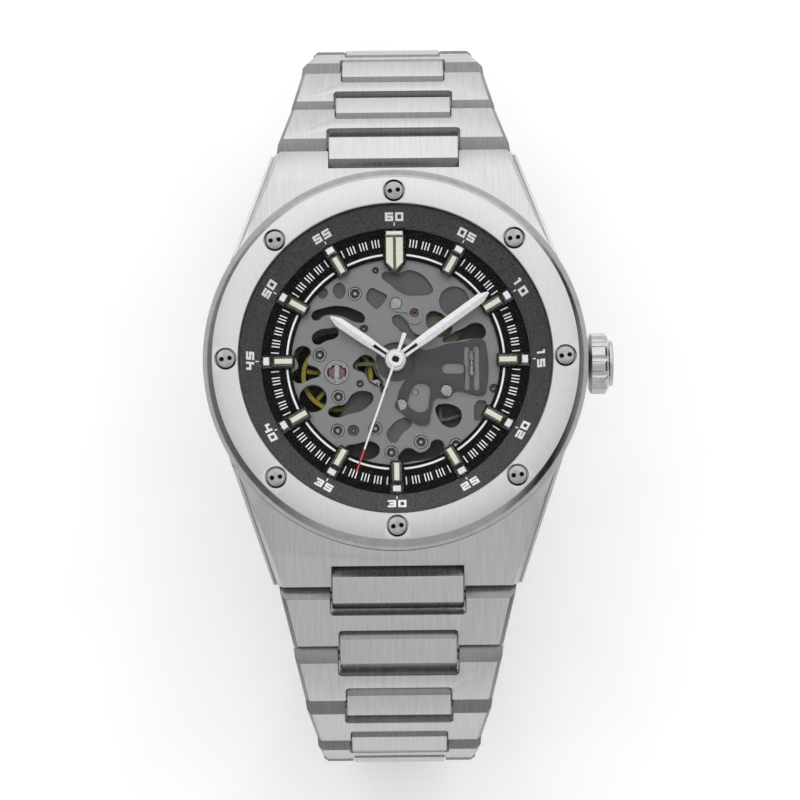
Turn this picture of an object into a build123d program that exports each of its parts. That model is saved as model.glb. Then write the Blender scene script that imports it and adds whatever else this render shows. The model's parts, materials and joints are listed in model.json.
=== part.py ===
"""Skeleton wristwatch on a link bracelet, in millimetres.

The dial faces +Z, twelve o'clock is +Y and the crown is on +X. The origin is the centre of the case back's
outer face. The bracelet closes in a loop below the case, through a butterfly clasp.
"""

import os
from math import atan2, cos, degrees, pi, radians, sin

from build123d import *

# --- case
CASE_R = 21.6
CASE_LOW = 1.0
CASE_TOP = 9.4
BORE_R = 15.65
DIAL_BORE_R = 18.0
SEAT_Z = 8.2
LUG_ROOT = (19.4, 10.0)
LUG_TIP = (14.1, 25.5)
LUG_TIP_Z = 5.0
BEZEL_R = 22.0
BEZEL_FLAT_R = 20.9
BEZEL_IN_R = 17.9
BEZEL_TOP = 11.6
SCREW_PCD_R = 19.35
SCREW_HEAD_R = 1.1
SCREW_COUNT = 8
CRYSTAL_TOP = 11.75
CRYSTAL_LOW = 10.65

# --- dial
CHAPTER_IN_R = 15.4
CHAPTER_OUT_R = 17.85
DIAL_IN_R = 11.9
DIAL_LOW = 8.25
DIAL_TOP = 8.65
MARKER_TOP = 9.4

# --- movement
PLATE_R = 15.4
PLATE_LOW = 7.1
PLATE_TOP = 8.2
BALANCE_AT = (-6.76, -1.19)
BALANCE_R = 4.2
BARREL_AT = (2.44, 6.71)
THIRD_AT = (5.07, -1.85)
ESCAPE_AT = (-1.98, -3.43)
PALLET_AT = (-4.11, -2.43)
BRIDGE_LOW = 3.5
BRIDGE_TOP = 4.6

# --- small fittings of the movement
JEWEL_PLACES = ((2.2, 5.66), (-6.0, 0.9), (2.78, 1.98), (11.45, -3.2))
SCREW_PLACES = ((-0.13, 6.82), (-4.63, 8.01), (-8.7, 0.85), (-6.58, -4.03), (-6.72, -7.85), (-2.41, -7.67),
                (-0.56, -10.49), (2.82, -9.33), (6.76, -9.69), (0.53, -5.08), (5.72, -3.48))

# --- hands, clockwise degrees from twelve
HOUR_ANGLE = 304.6
MINUTE_ANGLE = 54.3
SECOND_ANGLE = 199.4
HOUR_Z = 9.25
MINUTE_Z = 9.65
SECOND_Z = 10.05
HAND_THICK = 0.22

# --- crown
CROWN_Z = 5.6
CROWN_R = 3.5
CROWN_FROM = 22.1
CROWN_TO = 25.1
STEM_R = 0.6

# --- bracelet
PITCH = 7.4
LINK_THICK = 3.2
END_SLOPE = 24.0
LINK_SLOPES = {
    12: (41, 42, 66, 79, 100, 128, 155, 173, 180, 180, 180),
    6: (28, 46, 62, 84, 106, 129, 150, 167, 177, 180, 180),
}
SIDES = {12: 1, 6: -1}
LINK_COUNT = 11
JOINT_WIDTHS = (27.3, 24.2, 21.8, 19.3, 18.2, 17.4, 17.0, 17.0, 17.0, 17.0, 17.0, 17.0)
CENTRE_WIDTHS = (15.1, 13.5, 12.1, 11.2, 10.6, 10.2, 10.0, 10.0, 10.0, 10.0, 10.0)
NOSE = 1.55
PIN_R = 0.6
RUNNING = 0.05
LUG_WIDTH = 8.4
LAST_PIN = 5.0

# --- clasp
CLASP_LEVEL = -38.0
ARM_RISE = 3.5
BASE_PIVOT_Y = 21.0
BASE_HALF = 22.3
BASE_R = 6.0
BASE_PIN_R = 0.5
OPEN_PLAY = 0.3


def polar(radius, clockwise):
    """Point at a radius and an angle clockwise from twelve."""
    a = radians(90 - clockwise)
    return radius * cos(a), radius * sin(a)


def disc(radius, low, high, at=(0, 0)):
    return Pos(at[0], at[1], (low + high) / 2) * Cylinder(radius, high - low)


def ring(outer, inner, low, high, at=(0, 0)):
    return disc(outer, low, high, at) - disc(inner, low - 1, high + 1, at)


def block(size, centre):
    return Pos(*centre) * Box(*size)


def prism(points, low, high):
    """Upright prism over a plan outline."""
    face = make_face(Polyline(*points, close=True))
    return Pos(0, 0, low) * extrude(face, high - low)


def across(points, half):
    """Prism of a (y, z) outline, from -half to +half along X."""
    return extrude(Plane.YZ * make_face(Polyline(*points, close=True)), half, both=True)


def rod(radius, start, end, y=0, z=0):
    """Round bar along X."""
    return Pos((start + end) / 2, y, z) * Rot(0, 90, 0) * Cylinder(radius, end - start)


def turned(points):
    """Solid of revolution of a (radius, z) outline about Z."""
    return revolve(Plane.XZ * make_face(Polyline(*points, close=True)), Axis.Z)


def group(*solids):
    """One node of several separate solids."""
    return Compound([s for item in solids for s in item.solids()])


def save(shape, name):
    export_step(shape, f"parts/{name}.step")


# ---------------------------------------------------------------- bracelet

def pin_line(slopes):
    """Pivots of one half of the bracelet, as (y, z), from the case to the clasp."""
    slope = radians(END_SLOPE)
    y = LUG_TIP[1] - LINK_THICK / 2 * sin(slope) + NOSE * cos(slope)
    z = LUG_TIP_Z - LINK_THICK / 2 * cos(slope) - NOSE * sin(slope)
    pins = [(y, z)]
    for i, angle in enumerate(slopes):
        step = LAST_PIN if i == LINK_COUNT - 1 else PITCH
        y, z = y + step * cos(radians(angle)), z - step * sin(radians(angle))
        pins.append((y, z))
    return pins


PINS = {hours: pin_line(slopes) for hours, slopes in LINK_SLOPES.items()}
END_PIN = PINS[12][0]


def placed(shape, pin, slope, side):
    """Puts a shape drawn along +Y at a pivot, sloping down by slope, on the side of 12 (+1) or 6 (-1)."""
    solid = Pos(0, pin[0], pin[1]) * Rot(-slope, 0, 0) * shape
    return solid if side > 0 else solid.rotate(Axis.Z, 180)


def centre_link(width, start):
    """Narrow link from start to just past its pivot at 0, rounded to turn in the next link."""
    low, high = -1.5, 1.7
    shape = across([
        (start, low + 0.6), (start + 0.6, low), (0, low), (1.05, low + 0.6), (1.4, low + 1.3), (1.4, 0.5),
        (0.2, high), (start + 1.2, high), (start, high - 0.9),
    ], width / 2)
    return shape - rod(PIN_R + RUNNING, -width, width)


def outer_link(near, far, near_notch, far_notch, end, far_depth):
    """H-shaped link. Its near pivot is at 0; the notches take the centre links."""
    half = LINK_THICK / 2
    side = across([
        (-1.4, -0.5), (-0.1, -half), (end - 0.3, -half), (end, -half + 0.3), (end, half - 0.3),
        (end - 0.3, half), (-0.1, half), (-1.4, 0.5),
    ], near)
    plan = prism([(-near / 2, -1.4), (near / 2, -1.4), (far / 2, end), (-far / 2, end)], -3, 3)
    body = side & plan
    body -= block((near_notch, 4, 5), (0, -0.2, 0))
    body -= block((far_notch, 2 * far_depth, 5), (0, end, 0))
    return body - rod(PIN_R, -near / 2 + 1.2, near / 2 - 1.2)


def bracelet_link(index):
    """Outer link, the centre link fixed in its far end, and the pin in its near end."""
    near, far = JOINT_WIDTHS[index], JOINT_WIDTHS[index + 1]
    last = index == LINK_COUNT - 1
    near_notch = CENTRE_WIDTHS[index] + 0.4
    pin = rod(PIN_R, -near / 2 + 1.2, near / 2 - 1.2)
    if last:
        outer = outer_link(near, far, near_notch, LUG_WIDTH, LAST_PIN + 1.6, 3.2)
        outer -= rod(PIN_R, -far / 2 + 1.2, far / 2 - 1.2, LAST_PIN, 0)
        return group(outer, pin, rod(PIN_R, -far / 2 + 1.2, far / 2 - 1.2, LAST_PIN, 0))
    width = CENTRE_WIDTHS[index + 1]
    outer = outer_link(near, far, near_notch, width, 5.7, 1.9)
    centre = Pos(0, PITCH, 0) * centre_link(width, 3.8 - PITCH)
    return group(outer, pin, centre)


def end_links():
    """The two centre links held in the notches of the case, with their bars."""
    solids = []
    for side in (1, -1):
        link = centre_link(CENTRE_WIDTHS[0], -3.7) - rod(PIN_R, -9, 9, -2.4, 0)
        bar = rod(PIN_R, -9, 9, -2.4, 0)
        solids.append(placed(link, END_PIN, END_SLOPE, side))
        solids.append(placed(bar, END_PIN, END_SLOPE, side))
    return group(*solids)


def clasp_arm(hours, play):
    """Folding arm: a lug on the last link's pin, a plate, and a knuckle at the base plate."""
    tip_y, tip_z = PINS[hours][-1]
    top_z = CLASP_LEVEL + ARM_RISE
    plate = across([
        (tip_y - 1.0, tip_z + 1.2), (tip_y + 1.0, tip_z + 1.2), (tip_y + 1.6, tip_z + 2.35),
        (BASE_PIVOT_Y - 0.6, top_z - 0.75), (BASE_PIVOT_Y - 0.6, top_z + 0.35), (tip_y - 1.0, tip_z + 3.0),
    ], 4.1)
    lug = rod(1.3, -3.9, 3.9, tip_y, tip_z) + block((7.8, 2.0, 2.2), (0, tip_y, tip_z + 1.1))
    knuckle = rod(1.0, -4.1, 4.1, BASE_PIVOT_Y, top_z)
    arm = plate + lug + knuckle
    arm -= rod(PIN_R + play, -9, 9, tip_y, tip_z)
    arm -= rod(BASE_PIN_R + RUNNING, -9, 9, BASE_PIVOT_Y, top_z)
    return arm if hours == 12 else arm.rotate(Axis.Z, 180)


def clasp_base():
    """Base plate with ears for the arms' pins and side walls for the push buttons."""
    level = CLASP_LEVEL
    pivot = level + ARM_RISE
    plate = block((2 * BASE_R, 2 * BASE_HALF, 0.9), (0, 0, level + 5.25))
    for y in (-BASE_PIVOT_Y, BASE_PIVOT_Y):
        for x in (-5.2, 5.2):
            plate += block((1.6, 2.0, 1.5), (x, y, pivot + 0.75)) + rod(1.0, x - 0.8, x + 0.8, y, pivot)
        plate -= rod(BASE_PIN_R, -BASE_R, BASE_R, y, pivot)
    for x in (-6.45, 6.45):
        plate += block((0.9, 14, 3.8), (x, 0, level + 3.8))
    plate -= rod(0.85, -9, 9, 0, level + 3.6)
    pins = [rod(BASE_PIN_R, -BASE_R, BASE_R, y, pivot) for y in (-BASE_PIVOT_Y, BASE_PIVOT_Y)]
    return group(plate, *pins)


def clasp_button(side):
    stem = rod(0.8, 5.1, 7.8, 0, CLASP_LEVEL + 3.6)
    cap = rod(1.15, 7.8, 9.2, 0, CLASP_LEVEL + 3.6)
    button = stem + fillet(cap.edges().sort_by(Axis.X)[-1], 0.3)
    return button if side > 0 else button.rotate(Axis.Z, 180)


# ---------------------------------------------------------------- case

def mid_case():
    """Round case with two sloping lug blocks, notched for the end links and bored for the movement."""
    rx, ry = LUG_ROOT
    tx, ty = LUG_TIP
    tip_low = (ty - LINK_THICK * sin(radians(END_SLOPE)), LUG_TIP_Z - LINK_THICK * cos(radians(END_SLOPE)))
    outline = [(rx, -ry), (rx, ry), (tx, ty), (-tx, ty), (-rx, ry), (-rx, -ry), (-tx, -ty), (tx, -ty)]
    profile = [
        (-12, CASE_TOP), (12, CASE_TOP), (17, 8.3), (21.5, 6.7), (ty, LUG_TIP_Z), tip_low, (20, CASE_LOW),
        (-20, CASE_LOW), (-tip_low[0], tip_low[1]), (-ty, LUG_TIP_Z), (-21.5, 6.7), (-17, 8.3),
    ]
    lugs = prism(outline, 0, 10) & across(profile, 24)
    body = disc(CASE_R, CASE_LOW, CASE_TOP)
    body = chamfer(body.edges().filter_by(GeomType.CIRCLE).sort_by(Axis.Z)[0], 0.8)
    body += lugs
    for sx in (-1, 1):
        for sy in (-1, 1):
            slant = degrees(atan2(rx - tx, ty - ry))
            edge = Rot(24, 0, 0) * Rot(0, 45, 0) * Box(1.5, 30, 1.5)
            edge = Pos(tx + 0.05, ty, LUG_TIP_Z) * Rot(-48, 0, slant) * edge
            if sx < 0:
                edge = mirror(edge, Plane.YZ)
            if sy < 0:
                edge = mirror(edge, Plane.XZ)
            body -= edge & block((60, 60, 12), (0, sy * 41.5, 5))
    for side in (1, -1):
        notch = Pos(0, -0.2, 0) * block((CENTRE_WIDTHS[0] + 0.1, 7.6, 12), (0, 0, 0))
        body -= placed(notch, END_PIN, END_SLOPE, side)
        body -= placed(rod(PIN_R, -9, 9, -2.4, 0), END_PIN, END_SLOPE, side)
    body -= disc(BORE_R, 0, SEAT_Z)
    body -= disc(DIAL_BORE_R, SEAT_Z, 12)
    body -= disc(18.6, 0, 2.2)
    body -= rod(0.8, 10, 30, 0, CROWN_Z)
    return body - rod(1.6, 18.8, 30, 0, CROWN_Z)


def bezel():
    body = turned([
        (BEZEL_IN_R, CASE_TOP + 0.05), (BEZEL_R, CASE_TOP + 0.05), (BEZEL_R, BEZEL_TOP - 1.0),
        (BEZEL_FLAT_R, BEZEL_TOP), (BEZEL_IN_R, BEZEL_TOP),
    ])
    for i in range(SCREW_COUNT):
        at = polar(SCREW_PCD_R, 360 / SCREW_COUNT * i)
        body -= disc(SCREW_HEAD_R + 0.1, BEZEL_TOP - 0.8, 13, at)
    return body


def bezel_screws():
    """Domed heads with two spanner holes, on short shanks."""
    solids = []
    for i in range(SCREW_COUNT):
        x, y = polar(SCREW_PCD_R, 360 / SCREW_COUNT * i)
        head = disc(SCREW_HEAD_R, BEZEL_TOP - 0.8, BEZEL_TOP + 0.1, (x, y))
        head = fillet(head.edges().sort_by(Axis.Z)[-1], 0.25)
        for dx in (-0.45, 0.45):
            head -= disc(0.17, BEZEL_TOP - 0.3, 13, (x + dx, y))
        solids.append(head)
    return group(*solids)


def crystal():
    body = disc(BEZEL_IN_R - 0.02, CRYSTAL_LOW, CRYSTAL_TOP)
    return chamfer(body.edges().sort_by(Axis.Z)[-1], 0.2)


def case_back():
    body = ring(18.55, 12.5, 0, 1.5)
    body -= disc(13.2, 0.7, 3)
    for i in range(6):
        body -= disc(0.75, -1, 0.35, polar(15.8, 30 + 60 * i))
    return body


def case_back_screws():
    solids = []
    for i in range(6):
        at = polar(15.8, 30 + 60 * i)
        screw = disc(0.7, 0.02, 0.35, at)
        solids.append(screw - block((1.6, 0.2, 0.2), (at[0], at[1], 0.05)))
    return group(*solids)


# ---------------------------------------------------------------- dial

def chapter_ring():
    return turned([
        (CHAPTER_IN_R, DIAL_TOP + 0.05), (CHAPTER_OUT_R, DIAL_TOP + 0.05), (CHAPTER_OUT_R, 10.6),
        (17.6, 10.6), (CHAPTER_IN_R, 9.1),
    ])


def dial_ring():
    return ring(DIAL_BORE_R - 0.1, DIAL_IN_R, DIAL_LOW, DIAL_TOP)


def hour_marker(hour):
    """Baton from the dial ring's inner edge to the chapter ring."""
    half, inner, outer = 0.75, 11.6, 15.3
    points = [(-half, inner + 0.35), (-half + 0.35, inner), (half - 0.35, inner), (half, inner + 0.35),
              (half, outer), (-half, outer)]
    baton = prism(points, DIAL_TOP, MARKER_TOP)
    baton = chamfer(baton.faces().sort_by(Axis.Z)[-1].edges(), 0.15)
    return baton.rotate(Axis.Z, -30 * hour)


def twelve_marker():
    """Shield with a blunt point towards the centre."""
    points = [(-1.23, 15.3), (1.23, 15.3), (1.23, 11.3), (0.45, 10.3), (-0.45, 10.3), (-1.23, 11.3)]
    shield = prism(points, DIAL_TOP, MARKER_TOP)
    return chamfer(shield.faces().sort_by(Axis.Z)[-1].edges(), 0.2)


def hour_markers():
    return group(twelve_marker(), *[hour_marker(h) for h in range(1, 12)])


def hand(length, tail, half, level, angle, boss, bore):
    """Pointed hand on a round boss, with a slot near its root."""
    points = [(0.45, 0), (half, 3.4), (half, length - 1.3), (0, length), (-half, length - 1.3), (-half, 3.4),
              (-0.45, 0), (-0.3, -tail), (0.3, -tail)]
    blade = prism(points, level, level + HAND_THICK)
    blade += disc(boss, level, level + HAND_THICK)
    blade -= prism([(0.14, 1.1), (0.22, 3.1), (-0.22, 3.1), (-0.14, 1.1)], level - 1, level + 1)
    blade -= disc(bore, level - 1, level + 1)
    return blade.rotate(Axis.Z, -angle)


def seconds_hand():
    points = [(0.22, 0), (0.07, 13.7), (-0.07, 13.7), (-0.22, 0), (-0.32, -3.2), (0.32, -3.2)]
    blade = prism(points, SECOND_Z, SECOND_Z + 0.15)
    blade += disc(0.9, SECOND_Z, SECOND_Z + 0.2)
    return blade.rotate(Axis.Z, -SECOND_ANGLE)


# ---------------------------------------------------------------- movement

def main_plate():
    """Skeletonised plate that the dial side shows, with windows, wells and jewel holes."""
    low, high = PLATE_LOW, PLATE_TOP
    body = disc(PLATE_R, low, high) - disc(1.0, 0, 12)
    slots = [
        [(-3.17, 8.64), (-0.56, 7.61), (-2.05, 6.06), (-3.68, 7.11)],
        [(-10.85, 2.0), (-8.55, 2.0), (-8.3, -1.75), (-9.6, -1.75), (-10.6, -0.6)],
        [(-4.9, 0.5), (-3.6, 0.5), (-3.6, -1.65), (-4.9, -1.65)],
        [(-7.8, -5.7), (-2.6, -4.2), (-2.4, -3.6), (-3.4, -3.4), (-8.1, -5.0)],
        [(1.55, -2.95), (3.75, -2.95), (3.75, -6.3), (1.55, -6.3)],
        [(4.6, -4.75), (7.5, -4.75), (7.5, -7.6), (6.0, -7.6), (4.6, -6.6)],
        [(8.9, -4.4), (10.3, -4.4), (10.3, -7.1), (8.9, -7.1)],
        [(-5.9, -9.3), (-2.0, -9.6), (-2.4, -11.0), (-4.4, -11.3)],
        [(0.3, -11.4), (1.4, -9.9), (3.4, -9.0), (5.4, -9.4), (4.8, -11.0), (2.2, -11.2)],
        [(-0.4, 5.1), (2.0, 5.1), (2.0, 3.1), (-0.4, 3.1)],
    ]
    for points in slots:
        body -= prism(points, low - 1, high + 1)
    wells = [((-9.5, -4.15), 1.6), ((4.26, 4.94), 0.9), ((-6.76, -1.19), 1.45), ((4.6, -9.15), 0.75)]
    for at, radius in wells:
        body -= disc(radius, low - 1, high + 1, at)
    for i in range(7):
        body -= disc(0.55, low - 1, high + 1, (-9.3 + 0.95 * i, 5.25 + 1.0 * sin(pi * i / 6)))
    body -= disc(1.7, 7.7, 12, (6.76, 6.99))
    for at in JEWEL_PLACES:
        body -= disc(0.48, low - 1, high + 1, at)
    for at in SCREW_PLACES:
        body -= disc(0.75, 7.8, 12, at)
    return body - block((4.7, 1.5, 9), (13.2, 0, PLATE_LOW - 3.4))


def jewels():
    solids = [ring(0.47, 0.1, PLATE_TOP - 0.4, PLATE_TOP + 0.02, at) for at in JEWEL_PLACES]
    setting = ring(1.42, 0.55, PLATE_TOP - 0.5, PLATE_TOP + 0.1, BALANCE_AT)
    return group(*solids, setting, disc(0.54, PLATE_TOP - 0.5, PLATE_TOP, BALANCE_AT))


def movement_screws():
    solids = []
    for i, at in enumerate(SCREW_PLACES):
        screw = disc(0.68, 7.82, PLATE_TOP + 0.03, at)
        slot = Pos(at[0], at[1], PLATE_TOP + 0.05) * Rot(0, 0, 37 * i) * Box(1.6, 0.2, 0.3)
        solids.append(screw - slot)
    return group(*solids)


def keyless_cover():
    """Thin cover over the setting works, between the centre and the crown."""
    low, high = PLATE_TOP + 0.02, PLATE_TOP + 0.32
    points = [(1.6, 1.3), (5.85, 2.0), (10.1, 2.45), (10.4, 1.2), (10.4, -3.35), (10.05, -4.0), (8.45, -3.8),
              (6.65, -3.3), (6.6, -2.5), (5.0, -2.5), (4.7, -4.2), (3.85, -6.2), (3.7, -7.3), (2.65, -7.3),
              (0.85, -6.2), (1.3, -2.6), (1.5, -1.4)]
    body = prism(points, low, high)
    body -= block((2.9, 1.35, 3), (6.5, -0.9, low))
    for x in (8.1, 9.25):
        body -= block((0.6, 5.4, 3), (x, -0.75, low))
    body -= block((2.3, 3.4, 3), (2.65, -4.6, low))
    return body - disc(0.48, low - 1, high + 1, (2.2, -3.62))


def wheel(teeth, module, low, high, at, bore, spokes=4):
    """Spoked gear whose teeth are short blocks on a round rim."""
    pitch_r = teeth * module / 2
    body = disc(pitch_r - 0.35 * module, low, high, at)
    rim = pitch_r - 3.2 * module
    cut = disc(rim, low - 1, high + 1, at) - disc(0.9, low - 1, high + 1, at)
    for i in range(spokes // 2):
        centre = Pos(at[0], at[1], (low + high) / 2)
        bar = centre * Rot(0, 0, 180 / (spokes // 2) * i) * Box(2 * rim + 1, 0.4, 3)
        cut -= bar
    body -= cut
    return body - disc(bore, low - 1, high + 1, at)


def gear_train():
    """Train wheels with their pinions and arbors."""
    centre = wheel(80, 0.12, 6.6, 6.8, (0, 0), 0.45) + ring(0.7, 0.45, 6.0, 6.8) + ring(0.62, 0.45, 6.8, 9.95)
    third = wheel(75, 0.127, 5.4, 5.6, THIRD_AT, 0.1) + disc(0.5, 5.6, 6.85, THIRD_AT)
    third += disc(0.3, BRIDGE_TOP + 0.1, 5.4, THIRD_AT)
    fourth = wheel(80, 0.09, 4.95, 5.1, (0, 0), 0.05)
    fourth += disc(0.5, 5.1, 5.75) + disc(0.2, BRIDGE_TOP + 0.1, SECOND_Z)
    escape = disc(1.75, 6.0, 6.15, ESCAPE_AT) - ring(1.35, 0.5, 5, 7, ESCAPE_AT)
    for i in range(2):
        bar = Box(2.8, 0.25, 0.15)
        escape += Pos(ESCAPE_AT[0], ESCAPE_AT[1], 6.075) * Rot(0, 0, 90 * i) * bar
    escape += disc(0.3, BRIDGE_TOP + 0.1, 6.25, ESCAPE_AT)
    return centre, third, fourth, escape


def hour_wheel():
    return ring(0.88, 0.68, 7.5, HOUR_Z + HAND_THICK) + ring(2.6, 0.68, 7.0, 7.06)


def barrel():
    """Barrel with its toothed rim, holding the mainspring."""
    drum = disc(5.6, 5.85, 6.45, BARREL_AT) + disc(6.05, 5.95, 6.15, BARREL_AT)
    return drum + disc(0.6, BRIDGE_TOP + 0.1, 5.85, BARREL_AT)


def pallet_fork():
    x, y = PALLET_AT
    to_balance = degrees(atan2(BALANCE_AT[1] - y, BALANCE_AT[0] - x))
    bar = block((2.1, 0.35, 0.2), (0.9, 0, 6.1)) + block((0.3, 1.0, 0.2), (2.0, 0, 6.1))
    arms = block((0.35, 2.6, 0.2), (-0.1, 0, 6.1))
    fork = Pos(x, y, 0) * Rot(0, 0, to_balance) * (bar + arms)
    return fork + disc(0.25, 5.9, 6.22, PALLET_AT)


def balance_wheel():
    x, y = BALANCE_AT
    rim = ring(BALANCE_R, BALANCE_R - 0.55, 5.3, 5.75, BALANCE_AT)
    bar = block((2 * BALANCE_R - 0.6, 0.5, 0.2), (x, y, 5.5))
    staff = disc(0.35, 4.75, 5.9, BALANCE_AT) + disc(0.22, 5.9, 7.6, BALANCE_AT)
    return rim + bar + staff


def hairspring():
    """Flat coil below the balance, drawn as a thin ring stack."""
    solids = [ring(0.6 + 0.3 * i, 0.54 + 0.3 * i, 4.95, 5.1, BALANCE_AT) for i in range(1, 7)]
    return group(*solids)


def rotor():
    """Half-disc winding weight on a bearing hub."""
    half = disc(12.2, 1.9, 2.5) & block((30, 15, 9), (0, -7.5, 2.2))
    half -= disc(8.6, 1.9, 2.5) - disc(3.4, 1.9, 2.5) - block((2.4, 20, 3), (0, -8, 2.2))
    weight = (ring(12.2, 9.4, 2.5, 3.1)) & block((30, 14, 9), (0, -7.4, 2.8))
    return half + weight + disc(3.0, 1.9, 2.9) - disc(1.05, 0, 5)


def train_bridge():
    """Back bridge that carries the rotor's post and the lower pivots."""
    body = disc(15.5, BRIDGE_LOW, BRIDGE_TOP) - disc(5.2, 0, 6, BALANCE_AT)
    body += disc(1.0, 1.75, BRIDGE_LOW)
    body -= disc(0.45, 4, 6)
    return body


def escapement_bridges():
    """Balance cock at the back and pallet bridge at the dial side."""
    cock = prism([(-7.8, -2.2), (-5.7, -2.2), (-5.7, 0.2), (-9.0, 4.6), (-12.2, 3.4)], BRIDGE_LOW, BRIDGE_TOP)
    cock &= disc(5.1, BRIDGE_LOW, BRIDGE_TOP, BALANCE_AT)
    outline = [(-1.2, -2.9), (-2.4, -4.3), (-5.6, -6.9), (-6.4, -5.9), (-4.8, -2.0), (-3.4, -1.6)]
    bar = prism(outline, 6.28, 6.45)
    post = disc(0.5, 6.28, PLATE_LOW, (-5.6, -6.05))
    return group(cock, bar + post)


def winding():
    """Crown with flutes and a chamfered end, its stem and its gasket."""
    crown = rod(CROWN_R, CROWN_FROM, CROWN_TO, 0, CROWN_Z)
    ends = crown.edges().filter_by(GeomType.CIRCLE).sort_by(Axis.X)
    crown = chamfer([ends[0], ends[-1]], 0.55)
    for i in range(12):
        a = radians(30 * i)
        groove = rod(0.42, CROWN_FROM - 1, CROWN_TO - 0.7, 3.72 * cos(a), CROWN_Z + 3.72 * sin(a))
        crown -= groove
    crown += rod(1.2, 19.0, CROWN_FROM, 0, CROWN_Z)
    crown -= rod(STEM_R, 18, 23, 0, CROWN_Z)
    crown -= rod(1.6, 19.4, 19.8, 0, CROWN_Z) - rod(1.0, 19.4, 19.8, 0, CROWN_Z)
    stem = rod(STEM_R, 12.6, 23, 0, CROWN_Z) + rod(0.9, 12.6, 14.0, 0, CROWN_Z)
    gasket = rod(1.5, 19.45, 19.75, 0, CROWN_Z) - rod(1.05, 19, 20, 0, CROWN_Z)
    return crown, stem, gasket


def main():
    os.makedirs("parts", exist_ok=True)
    centre, third, fourth, escape = gear_train()
    crown, stem, gasket = winding()
    nodes = {
        "mid_case": mid_case(),
        "bezel": bezel(),
        "bezel_screws": bezel_screws(),
        "crystal": crystal(),
        "case_back": case_back(),
        "case_back_crystal": disc(12.45, 0, 1.5) + disc(13.18, 0.72, 1.5),
        "case_back_screws": case_back_screws(),
        "end_links": end_links(),
        "chapter_ring": chapter_ring(),
        "dial_ring": dial_ring(),
        "hour_markers": hour_markers(),
        "main_plate": main_plate(),
        "jewels": jewels(),
        "movement_screws": movement_screws(),
        "keyless_cover": keyless_cover(),
        "train_bridge": train_bridge(),
        "escapement_bridges": escapement_bridges(),
        "mainspring_barrel": barrel(),
        "centre_wheel": centre,
        "third_wheel": third,
        "fourth_wheel": fourth,
        "escape_wheel": escape,
        "pallet_fork": pallet_fork(),
        "balance_wheel": balance_wheel(),
        "hairspring": hairspring(),
        "hour_wheel": hour_wheel(),
        "rotor": rotor(),
        "crown": crown,
        "winding_stem": stem,
        "crown_gasket": gasket,
        "hour_hand": hand(9.0, 0.1, 0.52, HOUR_Z, HOUR_ANGLE, 1.35, 0.885),
        "minute_hand": hand(13.2, 0.1, 0.55, MINUTE_Z, MINUTE_ANGLE, 1.2, 0.625),
        "seconds_hand": seconds_hand(),
        "clasp_base": clasp_base(),
        "clasp_arm_12": clasp_arm(12, RUNNING),
        "clasp_arm_6": clasp_arm(6, OPEN_PLAY),
        "clasp_button_right": clasp_button(1),
        "clasp_button_left": clasp_button(-1),
    }
    for name, shape in nodes.items():
        save(shape, name)
    for index in range(LINK_COUNT):
        shape = bracelet_link(index)
        for hours, side in SIDES.items():
            pin, slope = PINS[hours][index], LINK_SLOPES[hours][index]
            save(placed(shape, pin, slope, side), f"link_{hours}_{index + 1:02d}")


main()
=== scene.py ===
# %% [markdown]
# # A skeleton wristwatch, modelled piece by piece
#
# The watch's frame is already packed: bodies, joints and plain solids, all in metres with +Z out through
# the dial, +Y at twelve o'clock and +X at the crown. This lesson dresses that frame. Every visible piece
# is built with ordinary modelling operators, given a procedural finish and hung on the body that it moves
# with.

# %% Load the frame
import json
from math import atan2, cos, degrees, hypot, pi, radians, sin

import bpy
from mathutils import Matrix, Vector


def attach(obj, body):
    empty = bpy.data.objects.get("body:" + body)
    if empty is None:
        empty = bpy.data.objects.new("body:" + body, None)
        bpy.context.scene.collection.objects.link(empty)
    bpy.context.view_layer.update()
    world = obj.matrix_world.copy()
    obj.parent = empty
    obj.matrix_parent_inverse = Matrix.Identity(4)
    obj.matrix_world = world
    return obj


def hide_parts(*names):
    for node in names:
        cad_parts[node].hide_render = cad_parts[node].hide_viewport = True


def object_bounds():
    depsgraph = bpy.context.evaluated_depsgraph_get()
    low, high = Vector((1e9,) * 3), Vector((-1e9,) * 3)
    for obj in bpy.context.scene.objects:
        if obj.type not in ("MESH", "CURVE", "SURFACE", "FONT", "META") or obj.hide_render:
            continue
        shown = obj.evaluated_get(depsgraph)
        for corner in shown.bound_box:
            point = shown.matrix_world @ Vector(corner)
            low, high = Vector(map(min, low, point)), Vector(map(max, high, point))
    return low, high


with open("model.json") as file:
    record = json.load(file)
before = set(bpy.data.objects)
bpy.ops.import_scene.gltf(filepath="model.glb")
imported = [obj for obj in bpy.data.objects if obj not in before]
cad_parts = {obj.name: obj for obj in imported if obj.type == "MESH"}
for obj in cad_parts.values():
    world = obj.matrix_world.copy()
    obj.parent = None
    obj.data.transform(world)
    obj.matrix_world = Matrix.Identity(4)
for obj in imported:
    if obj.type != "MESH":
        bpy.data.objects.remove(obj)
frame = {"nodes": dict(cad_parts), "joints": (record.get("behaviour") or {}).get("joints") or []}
CAD_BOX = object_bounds()
MM = 0.001

# %% [markdown]
# ## Small helpers
#
# Operators act on whatever is selected, so `alone` selects one piece and nothing else. A finished piece
# keeps its object at the origin, so `shift` and `turn` move the mesh and not the object. `clad` and
# `paint` come before `join`, so that each part of a joined piece keeps its own material. `settle` gives
# the piece its material, its shading and its body, and hides the solid that it stands for.


# %% Selecting, moving and finishing
def alone(piece):
    if bpy.context.object and bpy.context.object.mode != "OBJECT":
        bpy.ops.object.mode_set(mode="OBJECT")
    bpy.ops.object.select_all(action="DESELECT")
    piece.select_set(True)
    bpy.context.view_layer.objects.active = piece
    return piece


def shift(piece, x=0.0, y=0.0, z=0.0):
    piece.data.transform(Matrix.Translation((x * MM, y * MM, z * MM)))
    return piece


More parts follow.
